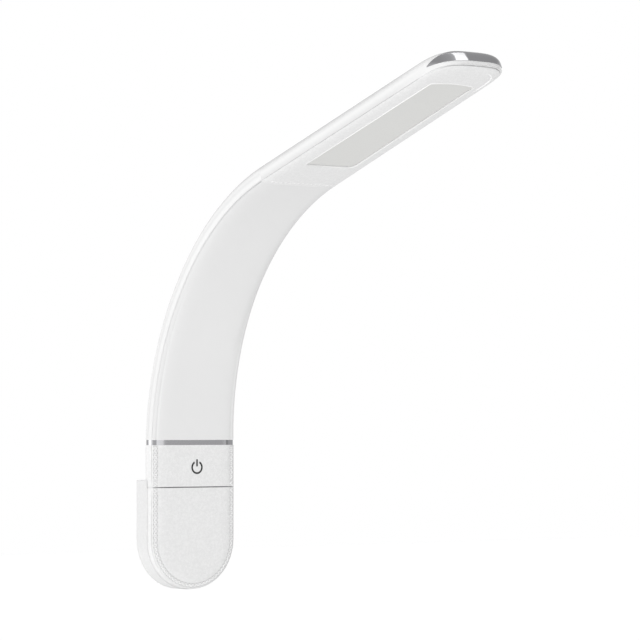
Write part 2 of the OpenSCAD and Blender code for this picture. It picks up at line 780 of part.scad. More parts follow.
module led_chips() {
  color("gold") at_head() for (s = [-1, 1]) for (k = [0:13])
    span([s > 0 ? guide_half + 0.05 : -guide_half - 0.73, 1.4, panel_start + 5 + k * 7.6],
         [s > 0 ? guide_half + 0.73 : -guide_half - 0.05, 2.8, panel_start + 8 + k * 7.6]);
}

module light_screws() {
  color("silver") at_head() for (p = stand_places) union() {
    rod_y(0.8, 3.5, 7.6, p[0], p[1], 32);
    rod_y(1.35, 3.0, 3.88, p[0], p[1], 32);
  }
}

module head_anchor() {
  a = -step / 2;
  py = (arm_r - spine_v) * cos(a) - arm_r;
  pz = (arm_r - spine_v) * sin(a);
  color("gray") at_head() difference() {
    union() {
      span([-spine_w / 2, anchor_front, pz + 3.3], [spine_w / 2, anchor_back, 18]);
      eye(py, pz, 4);
    }
    rod_x(link_pin_r + pin_fit, -20, 20, py, pz);
    for (x = [-6, 6]) rod_y(1.15, -5, 12, x, 13, 32);
  }
}

module head_rivets() {
  color("silver") at_head() for (x = [-6, 6]) union() {
    rod_y(0.8, anchor_front - 0.1, back_t - 1.2, x, 13, 32);
    rod_y(1.8, anchor_front - 0.9, anchor_front, x, 13, 32);
  }
}

// Where the trim lies on the end wall: its low edge behind the parting line, and the angle left free at its ends
trim_low = 2.1;
trim_drop = 1.1;
trim_turn = 13;
trim_points = 32;

// The low edge and the reach of the trim at the share t of its length
function trim_start(t) = trim_low + trim_drop * pow(1 - sin(180 * t), 2);
function trim_reach(t) = 0.15 + (back_t - trim_low) * pow(sin(180 * t), 0.7);

// A crescent of space round the tip, made of thin slices between the middle and the outside
module trim_space() {
  pts = [for (j = [0:trim_points]) let (t = j / trim_points, a = trim_turn + (180 - 2 * trim_turn) * t)
    for (q = [[0.4, 0], [1.2, 0], [1.2, 1], [0.4, 1]])
      [q[0] * tip_w / 2 * sgn_pow(cos(a), 2 / tip_square), trim_start(t) + q[1] * trim_reach(t),
       tip_start + q[0] * tip_len * pow(sin(a), 2 / tip_square)]];
  polyhedron(pts, tube_faces(4, trim_points));
}

// Chrome crescent on the end wall of the tip: a thin skin that narrows to a point at both sides
module tip_trim() {
  color("silver") at_head() intersection() {
    difference() {
      head_stack(shell_levels(trim_t, -line_gap), tip_start - 9);
      head_stack(shell_levels(0.02, -line_gap), tip_start - 10);
    }
    trim_space();
  }
}

base_front_cover();
base_middle_case();
base_back_block();
base_pad();
base_weight();
battery_cell();
charge_board();
charge_inlet();
base_screws();
fold_leaf_base();
fold_leaf_stem();
fold_rod();
fold_screws_base();
fold_screws_stem();
fold_crease();
stem_front_cover();
stem_back_shell();
power_mark();
touch_board();
touch_pad();
trim_ring();
arm_anchor();
anchor_screws();
link_pin(1);  // link_pin_1
link_pin(2);  // link_pin_2
link_pin(3);  // link_pin_3
link_pin(4);  // link_pin_4
link_pin(5);  // link_pin_5
link_pin(6);  // link_pin_6
link_pin(7);  // link_pin_7
arm_link(1);  // arm_link_1
arm_link(2);  // arm_link_2
arm_link(3);  // arm_link_3
arm_link(4);  // arm_link_4
arm_link(5);  // arm_link_5
arm_link(6);  // arm_link_6
sleeve(1);  // arm_sleeve_1
sleeve(2);  // arm_sleeve_2
sleeve(3);  // arm_sleeve_3
sleeve(4);  // arm_sleeve_4
sleeve(5);  // arm_sleeve_5
sleeve(6);  // arm_sleeve_6
sleeve(7);  // arm_sleeve_7
head_anchor();
head_back_shell();
head_front_frame();
diffuser();
light_guide();
reflector();
heat_plate();
led_strips();
led_chips();
light_screws();
head_rivets();
tip_trim();
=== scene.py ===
# %% [markdown]
# # A folding desk lamp in a bright studio
# The hard parts of this lamp come from a imported CAD model. This script adds what CAD leaves out and
# what shows from a step away: the soft sleeve of the arm, stitches, leather grain, a milky panel and
# polished metal. Everything is in metres. X runs across the lamp, its front faces -Y and Z is up.
#
# ## Load the model

# %% Load the CAD model
import bpy
import math
import numpy as np
from mathutils import Matrix, Vector


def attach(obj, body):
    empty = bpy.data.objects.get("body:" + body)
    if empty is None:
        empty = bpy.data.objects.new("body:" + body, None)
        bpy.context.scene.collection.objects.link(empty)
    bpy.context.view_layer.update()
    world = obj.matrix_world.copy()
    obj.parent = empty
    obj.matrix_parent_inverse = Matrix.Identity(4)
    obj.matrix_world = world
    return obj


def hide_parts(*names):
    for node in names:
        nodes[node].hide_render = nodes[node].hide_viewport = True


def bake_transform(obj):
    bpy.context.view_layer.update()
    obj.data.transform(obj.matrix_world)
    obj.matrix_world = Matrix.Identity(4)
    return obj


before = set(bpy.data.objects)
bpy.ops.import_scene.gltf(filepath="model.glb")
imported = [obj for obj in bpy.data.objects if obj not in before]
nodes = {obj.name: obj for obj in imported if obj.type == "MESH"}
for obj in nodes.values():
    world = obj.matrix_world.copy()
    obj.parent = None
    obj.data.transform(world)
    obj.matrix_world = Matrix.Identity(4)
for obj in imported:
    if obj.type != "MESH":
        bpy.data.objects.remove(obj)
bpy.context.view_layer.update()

# %% [markdown]
# ## Sizes
# The added pieces have to fit the CAD parts, so they start from the same sizes. The arm is an arc
# that begins at the metal ring and ends at the head. Its section is widest at the parting line,
# where the front cover and the back shell meet. Heights are measured forwards from that line.

# %% Sizes
MM = 0.001
HALF_BASE = 30 * MM  # half the width of the base
BASE_T = 18.8 * MM  # from the back pad to the front
FOLD_Z = 32 * MM  # the fold line
RING_Z0, RING_H = 57.6 * MM, 3.1 * MM  # the metal ring
RISE = 1.8 * MM  # how high the front swells
SOFT = 12 * MM  # how wide its rounded border is
BACK, BACK_R = 9.6 * MM, 4.3 * MM  # depth behind the parting line, rounding of the back edges
ARM_R, BEND = 158.4 * MM, math.radians(72.5)  # the arc of the arm
JOINTS = 7
HEAD_LEN, TIP_W, TIP_LEN = 174 * MM, 48 * MM, 26 * MM
TIP_SQUARE = 3.4  # 2 would be a round tip, more is squarer
TIP_BACK_R = 6.8 * MM
HEAD_HALF = 26.6 * MM  # half the width where the head begins

STEP = BEND / JOINTS
PART_Y = RISE - BASE_T
ARC_Z = RING_Z0 + RING_H / 2
ARC_Y = PART_Y - ARM_R
ARM_LEN = ARM_R * BEND
TIP_START = HEAD_LEN - TIP_LEN
COS, SIN = math.cos(BEND), math.sin(BEND)
print("arm length %.1f mm" % (ARM_LEN / MM))

# %% [markdown]
# ## Helpers for meshes
# Nearly every added piece is a tube: closed rows of points, called rings, that are joined one after
# another and closed at both ends. That gives clean solids, with none of the gaps that loose
# faces would leave. Smooth shading hides the facets, except at edges sharper than a given angle.

# %% Mesh helpers
def new_piece(name, shape, material, sharp=32):
    """An object from (points, faces), smooth except at edges above the angle sharp."""
    verts, faces = shape
    mesh = bpy.data.meshes.new(name)
    mesh.from_pydata([tuple(v) for v in verts], [], [tuple(f) for f in faces])
    mesh.validate()
    mesh.update()
    mesh.polygons.foreach_set("use_smooth", [True] * len(mesh.polygons))
    mesh.set_sharp_from_angle(angle=math.radians(sharp))
    mesh.materials.append(material)
    obj = bpy.data.objects.new(name, mesh)
    bpy.context.scene.collection.objects.link(obj)
    return obj


def tube(rings):
    """Points and faces of a tube through rings, which wind anticlockwise seen from its far end."""
    m = len(rings[0])
    verts = [p for r in rings for p in r]
    faces = []
    for j in range(len(rings) - 1):
        for i in range(m):
            k = (i + 1) % m
            faces.append((j * m + i, j * m + k, (j + 1) * m + k, (j + 1) * m + i))
    faces.append(tuple(range(m - 1, -1, -1)))
    faces.append(tuple((len(rings) - 1) * m + i for i in range(m)))
    return verts, faces


def sew_on(piece, body):
    """Let a piece of the leather work move with one body."""
    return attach(piece, body)


# %% [markdown]
# ## Helpers for materials
# A material is a small network of nodes. Noise and cell patterns change its colour, roughness and
# height a little, as on real leather, rubber or metal, so no picture has to be wrapped round the
# lamp. Each helper adds one node and connects it, which keeps the recipes further down short.

# %% Material helpers
def start_material(name):
    """A new material, its tree, its shader and the place of each point in metres."""
    mat = bpy.data.materials.new(name)
    mat.use_nodes = True
    tree = mat.node_tree
    place = tree.nodes.new("ShaderNodeTexCoord").outputs["Object"]
    return mat, tree, tree.nodes["Principled BSDF"], place


def place_of(tree, output="Object"):
    return tree.nodes["Texture Coordinate"].outputs[output]


def noise(tree, place, scale, detail=2.0):
    node = tree.nodes.new("ShaderNodeTexNoise")
    node.inputs["Scale"].default_value = scale
    node.inputs["Detail"].default_value = detail
    tree.links.new(place, node.inputs["Vector"])
    return node


def ramp(tree, source, low, high, colour_low, colour_high):
    """A change from one colour to another between two values."""
    node = tree.nodes.new("ShaderNodeValToRGB")
    for mark, spot, colour in zip(node.color_ramp.elements, (low, high), (colour_low, colour_high)):
        mark.position = spot
        mark.color = (*colour, 1)
    tree.links.new(source, node.inputs["Fac"])
    return node.outputs["Color"]


def value_range(tree, source, from_min, from_max, to_min, to_max):
    """One range of values turned into another one, which keeps to its ends."""
    node = tree.nodes.new("ShaderNodeMapRange")
    sockets = ("From Min", "From Max", "To Min", "To Max")
    for name, value in zip(sockets, (from_min, from_max, to_min, to_max)):
        node.inputs[name].default_value = value
    tree.links.new(source, node.inputs["Value"])
    return node.outputs["Result"]


def fill(tree, node, values):
    """Put numbers or vectors on a node's sockets, or connect another node's output."""
    for socket, value in zip(node.inputs, values):
        if isinstance(value, (int, float, tuple)):
            socket.default_value = value
        else:
            tree.links.new(value, socket)


def calculate(tree, how, *values):
    node = tree.nodes.new("ShaderNodeMath")
    node.operation = how
    fill(tree, node, values)
    return node.outputs["Value"]


def vector_step(tree, how, *values, result="Value"):
    node = tree.nodes.new("ShaderNodeVectorMath")
    node.operation = how
    fill(tree, node, values)
    return node.outputs[result]


def split_xyz(tree, vector):
    """The three numbers of a vector."""
    node = tree.nodes.new("ShaderNodeSeparateXYZ")
    tree.links.new(vector, node.inputs["Vector"])
    return node.outputs[0], node.outputs[1], node.outputs[2]


def bump(tree, height, strength, distance):
    """Add relief to the surface, on top of the relief that it has."""
    normal = tree.nodes["Principled BSDF"].inputs["Normal"]
    before = [link.from_socket for link in normal.links]
    node = tree.nodes.new("ShaderNodeBump")
    node.inputs["Strength"].default_value = strength
    node.inputs["Distance"].default_value = distance
    tree.links.new(height, node.inputs["Height"])
    if before:
        tree.links.new(before[0], node.inputs["Normal"])
    tree.links.new(node.outputs["Normal"], normal)


# %% [markdown]
# ## Soft shade along seams
# Seams and grooves look darker than open surfaces, because less light gets in. A groove that is cut
# as a mesh shows as one hard line. So the colour also gets a little darker within a short distance
# of each seam, a painted shade which gives the soft lines that the photo shows. The next
# helpers measure that distance at every point of the base, the arm and the head.

# %% Shade along seams
def shade(tree, distance, centre, flat, reach, amount, at_least=None):
    """Darken the colour where a distance is near its centre: fully up to flat, fading up to reach."""
    size = calculate(tree, "ABSOLUTE", calculate(tree, "SUBTRACT", distance, centre))
    factor = value_range(tree, size, flat, reach, 1 - amount, 1.0)
    if at_least:
        factor = calculate(tree, "MAXIMUM", factor, at_least)
    colour = tree.nodes["Principled BSDF"].inputs["Base Color"]
    node = tree.nodes.new("ShaderNodeVectorMath")
    node.operation = "SCALE"
    tree.links.new(colour.links[0].from_socket, node.inputs[0])
    tree.links.new(factor, node.inputs["Scale"])
    tree.links.new(node.outputs["Vector"], colour)


def base_inset(tree):
    """How far a point of the base lies inside its outline, which is straight above and round below."""
    x, y, z = split_xyz(tree, place_of(tree))
    flat = tree.nodes.new("ShaderNodeCombineXYZ")
    tree.links.new(x, flat.inputs["X"])
    tree.links.new(calculate(tree, "MINIMUM", z, 0.0), flat.inputs["Z"])
    return calculate(tree, "SUBTRACT", HALF_BASE, vector_step(tree, "LENGTH", flat.outputs["Vector"]))


def head_height(tree):
    """How far a point of the head lies in front of its parting line."""
    back = vector_step(tree, "DOT_PRODUCT", place_of(tree), (0, COS, SIN))
    return calculate(tree, "SUBTRACT", ARM_R + ARC_Y * COS + ARC_Z * SIN, back)


def arm_height(tree):
    """How far a point of the arm lies in front of its parting line, which is an arc."""
    spoke = vector_step(tree, "SUBTRACT", place_of(tree), (0, ARC_Y, ARC_Z), result="Vector")
    spoke = vector_step(tree, "MULTIPLY", spoke, (0, 1, 1), result="Vector")
    return calculate(tree, "SUBTRACT", ARM_R, vector_step(tree, "LENGTH", spoke))


def near_tip(tree):
    """A factor that rises to 1 towards the tip of the head, where the shade ends."""
    along = vector_step(tree, "DOT_PRODUCT", place_of(tree), (0, -SIN, COS))
    start = -SIN * ARC_Y + COS * ARC_Z + TIP_START
    return value_range(tree, along, start - 30 * MM, start + 6 * MM, 0.88, 1.0)


# %% [markdown]
# ## White leather
# The covers are made of grained leather. Its grain is a field of small raised cells with narrow
# valleys. A cell pattern gives that, and noise bends it so that no two cells look alike. The
# valleys are also painted a little darker, as the shade that a bump alone can't show on such a
# bright surface. The base gets a painted soft shade under its stitches and swells up inside them,
# as padded leather does.

# %% Leather
def leather(name, light, dark):
    mat, tree, shader, place = start_material(name)
    wobble = tree.nodes.new("ShaderNodeMix")
    wobble.data_type = "VECTOR"
    wobble.inputs["Factor"].default_value = 0.0008
    tree.links.new(place, wobble.inputs[4])
    tree.links.new(noise(tree, place, 700).outputs["Color"], wobble.inputs[5])
    cells = tree.nodes.new("ShaderNodeTexVoronoi")
    cells.feature = "DISTANCE_TO_EDGE"
    cells.inputs["Scale"].default_value = 1500
    tree.links.new(wobble.outputs[1], cells.inputs["Vector"])
    valley = value_range(tree, cells.outputs["Distance"], 0.0, 0.35, 0.0, 1.0)
    wide = noise(tree, place, 620, 3.0).outputs["Fac"]
    fine = noise(tree, place, 3000).outputs["Fac"]
    grain = calculate(tree, "MULTIPLY_ADD", valley, 0.5, wide)
    tree.links.new(ramp(tree, grain, 0.55, 1.0, (dark,) * 3, (light,) * 3), shader.inputs["Base Color"])
    shader.inputs["Roughness"].default_value = 0.5
    shader.inputs["Specular IOR Level"].default_value = 0.35
    bump(tree, valley, 0.45, 0.07 * MM)
    bump(tree, wide, 0.45, 0.2 * MM)
    bump(tree, fine, 0.2, 0.05 * MM)
    return mat


LEATHER = leather("white leather", 0.80, 0.715)
shade(LEATHER.node_tree, base_inset(LEATHER.node_tree), 2.2 * MM, 1.1 * MM, 2.0 * MM, 0.13)
pad = value_range(LEATHER.node_tree, base_inset(LEATHER.node_tree), 3.6 * MM, 5.6 * MM, 0.0, 1.0)
bump(LEATHER.node_tree, pad, 1.0, 0.2 * MM)
BLOCK_LEATHER = leather("block leather", 0.73, 0.66)
HEAD_LEATHER = leather("head leather", 0.81, 0.73)
# Painted shade along the head's parting line.
shade(HEAD_LEATHER.node_tree, head_height(HEAD_LEATHER.node_tree), 0.0, 0.1 * MM, 0.8 * MM, 0.05)
print("leathers:", LEATHER.name, BLOCK_LEATHER.name, HEAD_LEATHER.name)

# %% [markdown]
# ## Smooth white sleeve and shell
# The arm wears a satin sleeve and the back of the head is a glossier shell. Both look even, but a
# surface without any change looks like paper. Faint clouds of tone and a very fine relief are
# enough. The difference between the two is the roughness and the clear coat. Painted shade
# follows the groove, a line on the side and the back edge, and darkens the right edge of the
# upper arm.

# %% Sleeve and shell
def smooth_white(name, white, rough, coat):
    mat, tree, shader, place = start_material(name)
    clouds = noise(tree, place, 22).outputs["Fac"]
    tone = ramp(tree, clouds, 0.3, 0.7, (white,) * 3, (white * 0.985,) * 3)
    tree.links.new(tone, shader.inputs["Base Color"])
    fine = noise(tree, place, 2600).outputs["Fac"]
    wear = ramp(tree, fine, 0.3, 0.7, (rough * 0.9,) * 3, (rough * 1.1,) * 3)
    tree.links.new(wear, shader.inputs["Roughness"])
    shader.inputs["Coat Weight"].default_value = coat
    shader.inputs["Coat Roughness"].default_value = 0.12
    shader.inputs["Specular IOR Level"].default_value = 0.4
    bump(tree, fine, 0.06, 0.03 * MM)
    return mat


SLEEVE = smooth_white("white sleeve", 0.725, 0.34, 0.25)
tree = SLEEVE.node_tree
x, y, z = split_xyz(tree, place_of(tree))
# Painted shade on the right edge of the arm, held to its upper part by low_part.
low_part = value_range(tree, z, 110 * MM, 160 * MM, 1.0, 0.9)
shade(tree, x, HALF_BASE, 3 * MM, 9 * MM, 0.09, low_part)
# Painted shade along the groove, a line on the side and the back edge of the sleeve.
ARM_SHADES = ((0.0, 0.3, 0.9, 0.07), (-4.1, 0.2, 1.3, 0.07), (-8.2, 0.5, 1.4, 0.11))
for centre, flat, reach, amount in ARM_SHADES:
    shade(tree, arm_height(tree), centre * MM, flat * MM, reach * MM, amount)
SHELL = smooth_white("white shell", 0.73, 0.22, 0.5)
tree = SHELL.node_tree
# Painted shade along the parting line and the back edge of the head, fading out near the tip.
for centre, flat, reach, amount in ((0.0, 0.3, 3.6, 0.14), (-7.4, 0.3, 2.9, 0.10)):
    shade(tree, head_height(tree), centre * MM, flat * MM, reach * MM, amount, near_tip(tree))
print("smooth whites:", SLEEVE.name, SHELL.name)

# %% [markdown]
# ## Metals
# Brushed metal shows lines along one direction. Noise that is stretched a lot along X draws them,
# in the colour, the roughness and the relief alike. The ring and the crescent are polished instead.
# Polished metal shows the room, and this room is nearly all white, so it would look white too. In
# the photo it has bands of light and dark from a real studio. These bands are painted on it here:
# by place along the flat ring, and by slope on the crescent, which turns round the tip.

# %% Metals
def metal(name, colour, rough, brushed=0.0):
    mat, tree, shader, place = start_material(name)
    stretch = tree.nodes.new("ShaderNodeMapping")
    stretch.inputs["Scale"].default_value = (60, 2600, 2600)
    tree.links.new(place, stretch.inputs["Vector"])
    lines = noise(tree, stretch.outputs["Vector"], 1.0).outputs["Fac"]
    light = tuple(min(1, c * (1.06 + brushed)) for c in colour)
    tree.links.new(ramp(tree, lines, 0.25, 0.75, colour, light), shader.inputs["Base Color"])
    wear = ramp(tree, lines, 0.3, 0.7, (rough,) * 3, (rough * (1.2 + brushed),) * 3)
    tree.links.new(wear, shader.inputs["Roughness"])
    shader.inputs["Metallic"].default_value = 1.0
    bump(tree, lines, 0.04 + brushed * 0.3, 0.03 * MM)
    return mat


def by_place(tree):
    """0 to 1 along the ring, from its left end to its right end."""
    along = vector_step(tree, "DOT_PRODUCT", place_of(tree), (0.808, -0.589, 0.0))
    return value_range(tree, along, -18.3 * MM, 34.7 * MM, 0.0, 1.0)


def by_slope(tree):
    """0 to 1 for a surface that turns from the left to the right, with a slight ripple."""
    slope = place_of(tree, "Normal")
    waves = noise(tree, place_of(tree), 260, 1.0).outputs["Fac"]
    ripple = value_range(tree, waves, 0.0, 1.0, -0.03, 0.03)
    back = vector_step(tree, "DOT_PRODUCT", slope, (0, COS, SIN))
    top = value_range(tree, back, 0.62, 0.72, 0.0, 2.0)
    total = calculate(tree, "ADD", calculate(tree, "ADD", split_xyz(tree, slope)[0], ripple), top)
    return value_range(tree, total, -1.0, 1.0, 0.0, 1.0)


def chrome(name, source, bands, rough):
    """Polished metal with painted reflection bands (place, grey). White ones, highlights, are matt."""
    mat = metal(name, (0.5, 0.5, 0.5), rough)
    tree = mat.node_tree
    shader = tree.nodes["Principled BSDF"]
    stripes = tree.nodes.new("ShaderNodeValToRGB")
    marks = stripes.color_ramp.elements
    while len(marks) < len(bands):
        marks.new(0.5)
    for mark, (place, grey) in zip(marks, bands):
        mark.position = place
        mark.color = (grey, grey, min(1, grey * 1.03), 1)
    tree.links.new(source(tree), stripes.inputs["Fac"])
    tree.links.new(stripes.outputs["Color"], shader.inputs["Base Color"])
    matt = value_range(tree, stripes.outputs["Color"], 0.80, 0.96, 1.0, 0.0)
    tree.links.new(matt, shader.inputs["Metallic"])
    return mat


RING_BANDS = ((0.0, 0.40), (0.035, 0.36), (0.045, 0.97), (0.065, 0.95), (0.085, 0.55), (0.10, 0.36),
              (0.125, 0.35), (0.14, 0.68), (0.20, 0.62), (0.225, 0.38), (0.25, 0.335), (0.86, 0.32),
              (0.90, 0.40), (0.915, 0.17), (0.935, 0.29), (1.0, 0.33))
TIP_BANDS = ((0.0, 0.42), (0.10, 0.44), (0.25, 0.52), (0.31, 0.64), (0.335, 0.98), (0.465, 0.98),
             (0.478, 0.43), (0.60, 0.39), (0.8, 0.39), (1.0, 0.44))
CHROME = chrome("ring chrome", by_place, RING_BANDS, 0.10)
TIP_CHROME = chrome("tip chrome", by_slope, TIP_BANDS, 0.10)
STEEL = metal("brushed steel", (0.45, 0.45, 0.46), 0.32, 0.3)
ALUMINIUM = metal("aluminium", (0.70, 0.71, 0.73), 0.30, 0.2)
print("metals:", CHROME.name, TIP_CHROME.name, STEEL.name, ALUMINIUM.name)

# %% [markdown]
# ## Rubber, foil, boards, print and thread
# The small parts need less work. One recipe serves them all: a colour, a roughness and a noise
# that changes both a little. The scale of the noise is the number of specks per metre, so 5000
# gives the fine twist of a thread and 400 the soft dents of a foil.

# %% Plain finishes
def plain(name, colour, rough, grain=900, strength=0.1, metallic=0.0, spread=0.1):
    mat, tree, shader, place = start_material(name)
    specks = noise(tree, place, grain, 3.0).outputs["Fac"]
    tone = ramp(tree, specks, 0.3, 0.7, colour, tuple(c * (1 - spread) for c in colour))
    tree.links.new(tone, shader.inputs["Base Color"])
    wear = ramp(tree, specks, 0.3, 0.7, (rough * 0.85,) * 3, (min(1, rough * 1.15),) * 3)
    tree.links.new(wear, shader.inputs["Roughness"])
    shader.inputs["Metallic"].default_value = metallic
    bump(tree, specks, strength, 0.05 * MM)
    return mat


RUBBER = plain("pad rubber", (0.05, 0.05, 0.052), 0.75, 1500, 0.4)
FOIL = plain("cell foil", (0.16, 0.24, 0.38), 0.35, 400, 0.2)
BOARD = plain("circuit board", (0.01, 0.09, 0.035), 0.4, 700, 0.2)
PRINT = plain("black print", (0.012, 0.012, 0.014), 0.5, 2500, 0.1)
COPPER = plain("copper foil", (0.60, 0.32, 0.16), 0.3, 900, 0.1, 1.0)
MILK = plain("milky panel", (0.67, 0.67, 0.655), 0.38, 6000, 0.02)
GUIDE = plain("clear guide", (0.75, 0.82, 0.84), 0.1, 300, 0.02)
FILM = plain("white film", (0.82, 0.82, 0.82), 0.6, 1200, 0.1)
PHOSPHOR = plain("led phosphor", (0.75, 0.60, 0.12), 0.4, 2000, 0.1)
THREAD = plain("stitching thread", (0.86, 0.86, 0.86), 0.7, 5200, 0.6)
# Painted highlight: a near-white bead for the line of light along the head's right edge.
EDGE_HIGHLIGHT = plain("painted edge highlight", (0.95, 0.95, 0.95), 0.6, 5000, 0.3, spread=0.03)
# Partly a painted highlight: paler than the leather, for the bead round the panel.
PANEL_EDGE = plain("panel edge", (0.87, 0.87, 0.865), 0.6, 5000, 0.3, spread=0.03)
# Painted shade: dark grey pegs for the shade inside the needle holes.
HOLE_SHADE = plain("needle hole shade", (0.30, 0.30, 0.30), 0.9, 3000, 0.1)
CREASE = plain("crease shade", (0.15, 0.15, 0.155), 0.9, 3000, 0.1)
print("materials:", len(bpy.data.materials))

# %% [markdown]
# ## Give each CAD part its material
# A CAD part keeps its shape and its place and only gets a surface. The inner parts get theirs as
# well, although they are hidden, because someone may open the model up and look.

# %% Paint the CAD parts
def numbered(name, last):
    return [name % k for k in range(1, last + 1)]


paint = (
    (LEATHER, ["base_front_cover", "base_middle_case", "stem_front_cover", "stem_back_shell",
               "fold_crease"]),
    (BLOCK_LEATHER, ["base_back_block"]),
    (HEAD_LEATHER, ["head_front_frame"]),
    (SHELL, ["head_back_shell"]),
    (SLEEVE, numbered("arm_sleeve_%d", JOINTS)),
    (CHROME, ["trim_ring"]),
    (TIP_CHROME, ["tip_trim"]),
    (STEEL, ["base_weight", "base_screws", "fold_leaf_base", "fold_leaf_stem", "fold_rod",
             "fold_screws_base", "fold_screws_stem", "arm_anchor", "anchor_screws", "head_anchor",
             "light_screws", "head_rivets", "charge_inlet"]
     + numbered("arm_link_%d", JOINTS - 1) + numbered("link_pin_%d", JOINTS)),
    (ALUMINIUM, ["heat_plate"]),
    (RUBBER, ["base_pad"]),
    (FOIL, ["battery_cell"]),
    (BOARD, ["charge_board", "touch_board"]),
    (PRINT, ["power_mark"]),
    (COPPER, ["touch_pad"]),
    (MILK, ["diffuser"]),
    (GUIDE, ["light_guide"]),
    (FILM, ["reflector", "led_strips"]),
    (PHOSPHOR, ["led_chips"]),
)
for material, names in paint:
    for name in names:
        nodes[name].data.materials.clear()
        nodes[name].data.materials.append(material)
print("painted CAD parts:", sum(len(names) for material, names in paint))

# %% [markdown]
# ## The section of the sleeve
# Cut across, the arm is a flat bar with a gently swelling front and rounded back edges. Along its
# parting line runs a soft groove, and beside it a shallow valley where the rubber sinks in. Both
# could be a bump, but they catch the light on the outline too, so they are real shape here.

# %% Section of the sleeve
GROOVE_SHAPE = ((0.0, 0.5), (0.2, 0.36), (0.75, 0.2), (1.0, 0.04),
                (0.85, -0.12), (0.5, -0.26), (0.15, -0.4), (0.0, -0.55))
LIP, VALLEY_IN, VALLEY_W = 0.44 * MM, 2.9 * MM, 0.6 * MM


def front_point(w, k, n):
    """Point k of n on the rounded border of the front: 0 is at the parting line."""
    a = math.pi / 2 * k / n
    return w - SOFT + SOFT * math.cos(a), RISE * math.sin(a)


def sleeve_section(w, valley, groove):
    """The section as (across, forward) points for a half width w, from the front to the back."""
    half = []
    for k in range(34, 0, -1):
        u, v = front_point(w, k, 34)
        if v > 0.55 * MM:
            half.append((u, v - valley * math.exp(-((w - u - VALLEY_IN) / VALLEY_W) ** 2)))
    for deep, v in GROOVE_SHAPE:
        lip = LIP * max(0.0, v / 0.5)
        half.append((w - lip - (groove - lip) * deep, v * MM))
    for k in range(11):
        a = math.pi / 2 * k / 10
        half.append((w - BACK_R + BACK_R * math.cos(a), BACK_R - BACK - BACK_R * math.sin(a)))
    return half + [(-u, v) for u, v in reversed(half)]


print("points in a section:", len(sleeve_section(HALF_BASE, 0.0, 0.0)))

# %% [markdown]
# ## The soft sleeve of the arm
# Real silicone bends everywhere, but the CAD arm bends at seven joints. One long tube would tear or
# crumple, so the sleeve is made as seven pieces, one for each joint. They are made at rest, end to
# end along the arc, so neighbours meet without a seam.

# %% The sleeve
CUTS = 22
WIDTHS = ([0, ARM_LEN / 2, ARM_LEN], [HALF_BASE, 27.55 * MM, HEAD_HALF])


def on_arc(u, v, angle):
    """The point of the arm at a place on its section and an angle along its arc."""
    r = ARM_R - v
    return (u, ARC_Y + r * math.cos(angle), ARC_Z + r * math.sin(angle))


for k in range(1, JOINTS + 1):
    a0 = (k - 1) * STEP + (RING_H / 2 / ARM_R if k == 1 else 0.0)
    a1 = k * STEP
    rings = []
    for j in range(CUTS + 1):
        angle = a0 + (a1 - a0) * j / CUTS
        w = float(np.interp(ARM_R * angle, *WIDTHS))
        valley = 0.30 * MM * max(0.0, 1 - angle / BEND / 0.65)
        groove = (0.85 + 0.35 * angle / BEND) * MM
        rings.append([on_arc(u, v, angle) for u, v in sleeve_section(w, valley, groove)])
    piece = new_piece("sleeve_piece_%d" % k, tube(rings), SLEEVE, sharp=70)
    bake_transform(piece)
    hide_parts("arm_sleeve_%d" % k)
print("sleeve pieces:", JOINTS)

# %% [markdown]
# ## The leather over the fold
# Two stiff halves meet at the fold, and one strip of leather runs over both. It is a narrow band
# with a fine crease in its middle, where a second, dark material stands for the deep shadow.

# %% The strip over the fold
HALF_STRIP, HALF_CREASE, STRIP_T = 3.4 * MM, 0.30 * MM, 0.55 * MM
STRIP_SHAPE = ((-HALF_STRIP, 0.02), (-HALF_STRIP + 0.3 * MM, 0.03), (-1.2 * MM, 0.03),
               (-HALF_CREASE - 0.25 * MM, 0.0), (-HALF_CREASE, -0.12), (-0.12 * MM, -0.42),
               (0.12 * MM, -0.42), (HALF_CREASE, -0.12), (HALF_CREASE + 0.25 * MM, 0.0),
               (1.2 * MM, 0.03), (HALF_STRIP - 0.3 * MM, 0.03), (HALF_STRIP, 0.02))


def bend_at_fold(piece):
    """Bake the place of a piece over the fold into its mesh."""
    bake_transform(piece)


def strip_ring(dz, lift):
    """Points across the strip at dz above the fold: the outer line, then the inner line back."""
    right = [front_point(HALF_BASE, k, 14) for k in range(14, 0, -1)] + [(HALF_BASE, 0.0)]
    outer, inner = [], []
    for u, v in [(-u, v) for u, v in reversed(right)] + right:
        narrow = 1.0
        if abs(dz) < 0.5 * MM:
            narrow = 1 - 0.85 * (abs(u) / HALF_BASE) ** 8
        z = FOLD_Z + dz * narrow
        outer.append((u, PART_Y - v - lift * narrow, z))
        inner.append((u * 0.98, PART_Y - v + STRIP_T, z))
    return outer + inner[::-1]


rings = [strip_ring(dz, lift * MM) for dz, lift in STRIP_SHAPE]
strip = new_piece("fold_leather", tube(rings), LEATHER, sharp=40)
strip.data.materials.append(CREASE)
for face in strip.data.polygons:
    if max(abs(strip.data.vertices[i].co.z - FOLD_Z) for i in face.vertices) < HALF_CREASE + 0.01 * MM:
        face.material_index = 1
bend_at_fold(strip)
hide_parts("fold_crease")
print("strip points:", len(strip.data.vertices))

# %% [markdown]
# ## The lining of the fold
# At the two ends of the fold one can see a little way in between the halves. On a real lamp the
# leather is turned in there. Without that lining the slit would be black, so a thin strip of
# leather fills it at each side.

